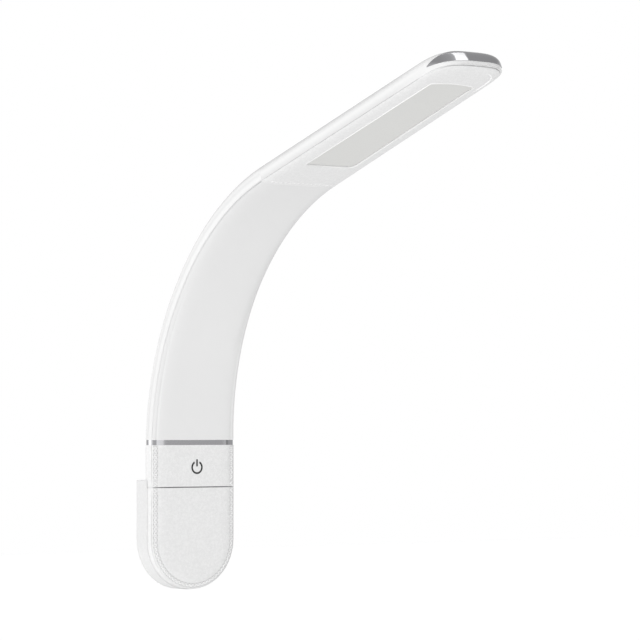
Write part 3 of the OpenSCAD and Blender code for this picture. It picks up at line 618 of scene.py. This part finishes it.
# %% The lining of the fold
LINING = ((0.30, 0.2), (0.30, -4.0), (0.45, -6.6), (1.6, -8.6),
          (2.2, -8.4), (1.0, -6.4), (0.8, -4.0), (0.8, 0.2))  # inwards and forwards, in mm
left_rings = [[(-(HALF_BASE - u * MM), PART_Y - v * MM, FOLD_Z + dz * MM) for u, v in LINING]
              for dz in (-1.3, -0.3, 0.3, 1.3)]
right_rings = [[(-x, y, z) for x, y, z in reversed(ring)] for ring in left_rings]
for name, rings in (("left_fold_lining", left_rings), ("right_fold_lining", right_rings)):
    bend_at_fold(new_piece(name, tube(rings), LEATHER, sharp=50))
print("lining points on each side:", sum(len(ring) for ring in left_rings))

# %% [markdown]
# ## Tools for stitching
# A zigzag of thread holds the leather at its edge. Each stitch is a short rod with rounded ends
# that lies on the slope of the front, sunk in a little. At each turn of the thread is a needle
# hole, a small peg in dark grey that is painted shade. A picture of stitches would look flat where
# the edge of the base catches the light.

# %% Stitch tools
SEAM_IN, PITCH, SEAM_W = 2.3 * MM, 1.33 * MM, 2.0 * MM  # place, step and width of the zigzag
THREAD_R, THREAD_SUNK = 0.36 * MM, 0.10 * MM
ROD_ENDS = ((0.0, 0.25), (0.12, 0.8), (0.3, 1.0), (0.7, 1.0), (0.88, 0.8), (1.0, 0.25))
EIGHTHS = [2 * math.pi * k / 8 for k in range(8)]


def front_height(inset):
    """How far the front lies above the parting line at a distance from its side."""
    if inset >= SOFT:
        return RISE
    c = 1 - inset / SOFT
    return RISE * math.sqrt(max(0.0, 1 - c * c))


def rod(p, q, r):
    """A rod from p to q with rounded ends, as points and faces."""
    p, q = Vector(p), Vector(q)
    d = (q - p).normalized()
    side = d.cross(Vector((0, 1, 0)))
    if side.length < 1e-6:
        side = d.cross(Vector((1, 0, 0)))
    side.normalize()
    up = side.cross(d)
    rings = []
    for t, k in ROD_ENDS:
        c = p + d * ((q - p).length * t)
        rings.append([tuple(c + (side * math.cos(a) + up * math.sin(a)) * r * k) for a in EIGHTHS])
    return tube(rings)


def joined(name, parts, material):
    """One object made of many separate rods."""
    verts, faces = [], []
    for v, f in parts:
        first = len(verts)
        verts += v
        faces += [tuple(i + first for i in face) for face in f]
    return new_piece(name, (verts, faces), material, sharp=60)


def seam_frame(x, z, side_dir):
    """A place on the front slope, with the ways across the seam and out of the leather."""
    inside = 1 - SEAM_IN / SOFT
    slope = RISE / SOFT * inside / math.sqrt(max(1e-6, 1 - inside ** 2))
    out = Vector((side_dir[0], 0, side_dir[1]))
    sideways = (out + Vector((0, slope, 0))).normalized()
    normal = (Vector((0, -1, 0)) + out * slope).normalized()
    return Vector((x, PART_Y - front_height(SEAM_IN), z)), sideways, normal


def zigzag(path):
    """Threads and needle holes along a path of seam frames."""
    threads, holes = [], []
    for i, ((p, s, n), (q, s2, n2)) in enumerate(zip(path, path[1:])):
        half_w = SEAM_W / 2 * (1 if i % 2 == 0 else -1)
        start, end = p + s * half_w, q - s2 * half_w
        threads.append(rod(start + n * THREAD_SUNK, end + n2 * THREAD_SUNK, THREAD_R))
        holes.append(rod(start - n * (THREAD_R * 0.4), start + n * (THREAD_R * 0.35), THREAD_R * 0.95))
    return threads, holes


print("one stitch every %.2f mm" % (PITCH / MM))

# %% [markdown]
# ## Stitches round the base
# The seam runs down the left side, round the lower end and up the right side. It stays at one
# distance from the edge, so its path is a half circle between two straight lines.

# %% Stitches round the base
def base_seam():
    """The path of the seam, as seam frames, from the left side to the right side."""
    x = HALF_BASE - SEAM_IN
    top = FOLD_Z - 3.6 * MM
    n = int(top / PITCH)
    arc_n = int(math.pi * x / PITCH)
    path = [seam_frame(-x, top - i * PITCH, (-1, 0)) for i in range(n + 1)]
    for i in range(1, arc_n):
        a = math.pi + math.pi * i / arc_n
        path.append(seam_frame(x * math.cos(a), x * math.sin(a), (math.cos(a), math.sin(a))))
    return path + [seam_frame(x, i * PITCH, (1, 0)) for i in range(n + 1)]


threads, holes = zigzag(base_seam())
sew_on(joined("base_stitches", threads, THREAD), "base")
sew_on(joined("base_needle_holes", holes, HOLE_SHADE), "base")
print("base stitches:", len(threads))

# %% [markdown]
# ## Stitches on the control section and over the fold
# The same seam goes on above the fold. A few stitches in the middle lie on the strip, on both
# sides of its crease.

# %% Stitches above and over the fold
for side, name in ((-1, "left"), (1, "right")):
    x = side * (HALF_BASE - SEAM_IN)
    z0, z1 = FOLD_Z + 3.7 * MM, RING_Z0 - 0.8 * MM
    count = int((z1 - z0) / PITCH) + 1
    threads, holes = zigzag([seam_frame(x, z1 - i * PITCH, (side, 0)) for i in range(count)])
    sew_on(joined(name + "_control_stitches", threads, THREAD), "stem")
    sew_on(joined(name + "_control_holes", holes, HOLE_SHADE), "stem")
    for z0, z1, place in ((-3.4, -0.7, "below"), (0.7, 3.4, "above")):
        places = [FOLD_Z + (z0 + (z1 - z0) * i / 2) * MM for i in range(3)]
        threads, holes = zigzag([seam_frame(x, z, (side, 0)) for z in places])
        bend_at_fold(joined("%s_stitches_%s_fold" % (name, place), threads + holes, THREAD))
    print(name, "stitches done")

# %% [markdown]
# ## The crescent on the tip
# The tip of the head carries a polished crescent on its end wall. It is widest in the middle and
# runs out to a point on both sides. Places on the head are given as across, forward and along,
# where along starts at the end of the arm. The crescent is a closed shell just outside the skin of
# the head, so its lower edge really casts the thin line that shows in the photo.

# %% The crescent
TURN = math.radians(13)  # where the crescent begins round the tip
LOW, DROP = 2.1 * MM, 1.1 * MM  # its lower edge, and how much lower it lies at both ends
SKIN, IN_SKIN = 0.3 * MM, 0.02 * MM  # how far its outer and inner side stand out
STEPS, ROWS = 96, 14


def on_head(u, v, s):
    """The point of the head at a place across, forward and along."""
    r = ARM_R - v
    return (u, ARC_Y + r * COS - s * SIN, ARC_Z + r * SIN + s * COS)


def round_tip(turn, half_w, length):
    """A point of the tip's outline, between an ellipse and a box, as (across, along)."""
    power = 2 / TIP_SQUARE
    u = half_w * math.copysign(abs(math.cos(turn)) ** power, math.cos(turn))
    return u, TIP_START + length * math.sin(turn) ** power


def edge_inset(v, r, out):
    """How far a rounded back edge of the radius r, moved out a little, lies inside the outline."""
    c = r - BACK - v
    return -out if c <= 0 else r - math.sqrt(max(0.0, (r + out) ** 2 - c * c))


def tip_point(turn, v, out):
    """A point on the skin of the tip, at an angle round its end and a height."""
    side, middle = edge_inset(v, BACK_R, out), edge_inset(v, TIP_BACK_R, out)
    inset = side + (middle - side) * math.sin(turn)
    u, s = round_tip(turn, TIP_W / 2 - inset, TIP_LEN - inset)
    return on_head(u, v, s)


rings = []
for j in range(STEPS + 1):
    swell = math.sin(math.pi * j / STEPS)
    turn = TURN + (math.pi - 2 * TURN) * j / STEPS
    v0 = -(LOW + DROP * (1 - swell) ** 2)
    v1 = max(v0 - 0.15 * MM - (BACK - LOW) * swell ** 0.7, -BACK + IN_SKIN)
    heights = [v0 + (v1 - v0) * i / ROWS for i in range(ROWS + 1)]
    rings.append([tip_point(turn, v, SKIN) for v in heights]
                 + [tip_point(turn, v, IN_SKIN) for v in reversed(heights)])
crescent = new_piece("tip_crescent", tube(rings), TIP_CHROME, sharp=50)
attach(crescent, "head")
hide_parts("tip_trim")
print("crescent points:", len(crescent.data.vertices))

# %% [markdown]
# ## The bead round the panel
# The edge of the opening is turned in round the milky panel and catches the light as a fine pale
# line. A thin bead along the panel's outline gives that line, with a colour a little paler than the
# leather as a painted highlight. It follows the long straight sides, the one round corner and the
# slightly bulged end of the panel.

# %% The bead round the panel
PANEL_FROM, PANEL_TO = 31 * MM, 149 * MM
PANEL_W0, PANEL_W1 = 16.5 * MM, 14.6 * MM  # half widths at both ends
PANEL_CORNER, PANEL_BULGE = 3.4 * MM, 2.2 * MM


def panel_outline(c):
    """The panel's outline, larger by c all round, as (across, along) points."""
    s0, s1, r = PANEL_FROM - c, PANEL_TO + c, PANEL_CORNER + c
    w0, w1 = PANEL_W0 + c, PANEL_W1 + c
    line = [(-w0, s0)]
    for k in range(9):
        a = math.pi / 2 * k / 8
        line.append((w0 - r + r * math.sin(a), s0 + r - r * math.cos(a)))
    for k in range(25):
        line.append((w1 - 2 * w1 * k / 24, s1 + PANEL_BULGE * (1 - (k / 12 - 1) ** 2)))
    return line


def bead_ring(before, here, after, r, height):
    """Eight points round a thin bead on the front of the head, at the middle one of three points."""
    along = Vector((after[0] - before[0], after[1] - before[1])).normalized()
    points = []
    for a in EIGHTHS:
        aside = r * math.cos(a)
        points.append(on_head(here[0] + along.y * aside, height + r * math.sin(a),
                              here[1] - along.x * aside))
    return points


BEAD_R = 0.42 * MM
line = panel_outline(0.5 * MM)
n = len(line)
verts = []
for i in range(n):
    verts += bead_ring(line[i - 1], line[i], line[(i + 1) % n], BEAD_R, RISE - BEAD_R / 3)
faces = [(i * 8 + k, i * 8 + (k + 1) % 8, (i + 1) % n * 8 + (k + 1) % 8, (i + 1) % n * 8 + k)
         for i in range(n) for k in range(8)]
sew_on(new_piece("panel_bead", (verts, faces), PANEL_EDGE, sharp=60), "head")
print("bead points:", len(verts))

# %% [markdown]
# ## The bead near the corner of the tip
# In the photo a white line follows the right edge of the head where it turns into the tip. It is a
# painted highlight: an open bead in near-white that gets thinner towards both ends, so it fades
# out and doesn't just stop.

# %% The bead near the corner
EDGE_IN, EDGE_R = 4.6 * MM, 0.38 * MM


def head_half(s):
    """Half the width of the head at a place along it."""
    return HEAD_HALF + (TIP_W / 2 - HEAD_HALF) * min(s, TIP_START) / TIP_START


line = [(head_half(s) - EDGE_IN, s) for s in [TIP_START * (0.96 + 0.04 * k / 10) for k in range(11)]]
line += [round_tip(math.pi * k / 52, TIP_W / 2 - EDGE_IN, TIP_LEN - EDGE_IN - 1.7 * MM)
         for k in range(1, 22)]
last = len(line) - 1
rings = []
for i in range(len(line)):
    r = EDGE_R * min(1.0, 0.15 + i / 10, 0.15 + (last - i) / 10)
    before, after = line[max(0, i - 1)], line[min(last, i + 1)]
    rings.append(bead_ring(before, line[i], after, r, front_height(EDGE_IN) - 0.05 * MM))
sew_on(new_piece("edge_highlight_bead", tube(rings), EDGE_HIGHLIGHT, sharp=60), "head")
print("edge bead rings:", len(rings))

# %% [markdown]
# ## The lining of the head's parting line
# The front frame and the back shell of the head meet with a small gap. It should show as a soft
# grey line and not as a black slit, so a thin band lies in the gap a little way inside the outline.

# %% The lining of the parting line
def head_loop(c):
    """The head's outline inside c, from the left side round the tip to the right side."""
    right = [(head_half(s) - c, s) for s in [TIP_START * k / 20 for k in range(21)]]
    tip = [round_tip(math.pi * k / 80, TIP_W / 2 - c, TIP_LEN - c) for k in range(1, 80)]
    return [(-u, s) for u, s in right] + tip[::-1] + right[::-1]


GAP = 0.12 * MM
rings = [[on_head(a, -GAP, b), on_head(a, GAP, b), on_head(c, GAP, d), on_head(c, -GAP, d)]
         for (a, b), (c, d) in zip(head_loop(0.3 * MM), head_loop(1.0 * MM))]
sew_on(new_piece("head_lining", tube(rings), HEAD_LEATHER), "head")
print("lining rings:", len(rings))

# %% [markdown]
# ## Stitches where the head begins
# The leather of the head ends where the smooth sleeve begins. A row of V-shaped stitches closes it
# there. Each one is made of two short rods, with the tip of the V towards the panel.

# %% Stitches on the head
V_W, V_LOW, V_HIGH, V_R = 0.7 * MM, 2.2 * MM, 4.2 * MM, 0.26 * MM
threads = []
for i in range(15):
    u = (-21 + 3 * i) * MM
    h = RISE if abs(u) < HEAD_HALF - SOFT else front_height(HEAD_HALF - abs(u))
    tip = on_head(u, h, V_HIGH)
    threads.append(rod(on_head(u - V_W, h, V_LOW), tip, V_R))
    threads.append(rod(tip, on_head(u + V_W, h, V_LOW), V_R))
sew_on(joined("head_stitches", threads, THREAD), "head")
print("head stitches:", len(threads))

# %% [markdown]
# ## The floor
# A white lamp on a white ground only shows its form where its sides get less light than its front.
# The floor is pale and plain. It also glows a little, as painted light: more on the left near the
# lamp, as a lit studio table does. That fills in the underside of the head.

# %% The floor
scene = bpy.context.scene
FLOOR_Z, FLOOR_HALF = -0.30, 6
NEAR_GLOW, LEFT_GLOW, FAR_GLOW = 0.39, 0.20, 0.40
FADE_FROM, FADE_TO = 1.2, 3.0  # distances between which the near glow turns into the far one
corners = [(x * FLOOR_HALF, y * FLOOR_HALF, FLOOR_Z) for x, y in ((-1, -1), (1, -1), (1, 1), (-1, 1))]
PALE = plain("pale floor", (0.88, 0.88, 0.88), 0.8, 400, 0.05, spread=0.02)
floor = new_piece("floor", (corners, [(0, 1, 2, 3)]), PALE)

tree = PALE.node_tree
place = tree.nodes.new("ShaderNodeNewGeometry").outputs["Position"]
away = vector_step(tree, "LENGTH", place)
# Painted light: the floor glows more on its left, near the lamp.
left = value_range(tree, split_xyz(tree, place)[0], -0.8, 0.8, LEFT_GLOW, -LEFT_GLOW)
near = value_range(tree, away, FADE_FROM, FADE_TO, 1.0, 0.0)
even = value_range(tree, away, FADE_FROM, FADE_TO, NEAR_GLOW, FAR_GLOW)
glow = calculate(tree, "ADD", calculate(tree, "MULTIPLY", left, near), even)
shader = tree.nodes["Principled BSDF"]
shader.inputs["Emission Color"].default_value = (1, 1, 1, 1)
tree.links.new(glow, shader.inputs["Emission Strength"])
print("floor at z =", FLOOR_Z)

# %% [markdown]
# ## The room
# The world gives an even white light from all sides. Near the horizon it is brighter than above, so
# the floor and the backdrop meet without a line, as on a roll of studio paper.

# %% The room
ROOM = 0.58
world = bpy.data.worlds.new("white room")
world.use_nodes = True
room = world.node_tree
direction = room.nodes.new("ShaderNodeTexCoord").outputs["Generated"]
height = vector_step(room, "DOT_PRODUCT", direction, (0, 0, 1))
backdrop = value_range(room, height, 0.18, 0.42, 1.0, ROOM)
room.links.new(backdrop, room.nodes["Background"].inputs["Strength"])
room.nodes["Background"].inputs["Color"].default_value = (1, 1, 1, 1)
scene.world = world
print("room light:", ROOM)

# %% [markdown]
# ## The soft light
# One wide light comes from the left and a little from the front. A sun that is 60 degrees wide
# works like a big soft box: it shapes the lamp, but its shadows have no hard edges. It is hidden
# from reflections, because its glint would put a false spot on the polished crescent.

# %% The soft light
light_data = bpy.data.lights.new("soft light", "SUN")
light_data.energy = 2.03
light_data.angle = math.radians(60)
light = bpy.data.objects.new("soft light", light_data)
light.rotation_mode = "QUATERNION"
light.rotation_quaternion = Vector((0.85, 0.5, -0.05)).to_track_quat("-Z", "Y")
light.location = (-1, -0.6, 0.3)
light.visible_glossy = False
scene.collection.objects.link(light)
print("lights:", light.name)

# %% [markdown]
# ## The camera
# The camera's place and lens were worked out from the outline of the lamp in the photo. It stands
# far away to the left of the front, with a long lens, and looks up very slightly. Its three
# directions are written down as they were found, and set as one matrix. Standard colours keep
# the whites of the photo.

# %% The camera
FOCAL, WIDTH, SENSOR = 2954.7, 640, 36  # focal length and width in pixels, sensor in mm
camera_data = bpy.data.cameras.new("camera")
camera_data.sensor_width = SENSOR
camera_data.lens = FOCAL / WIDTH * SENSOR
camera_data.clip_start, camera_data.clip_end = 0.05, 50
camera = bpy.data.objects.new("camera", camera_data)
look = Vector((0.58834, 0.80777, 0.03692))
right = Vector((0.80832, -0.58874, 0.0))
up = right.cross(look)
camera.matrix_world = Matrix((
    (right.x, up.x, -look.x, -0.9988),
    (right.y, up.y, -look.y, PART_Y - 1.5029),
    (right.z, up.z, -look.z, ARC_Z + 0.0081),
    (0, 0, 0, 1)))
scene.collection.objects.link(camera)
scene.camera = camera
scene.view_settings.view_transform = "Standard"
print("camera lens: %.0f mm" % camera_data.lens)
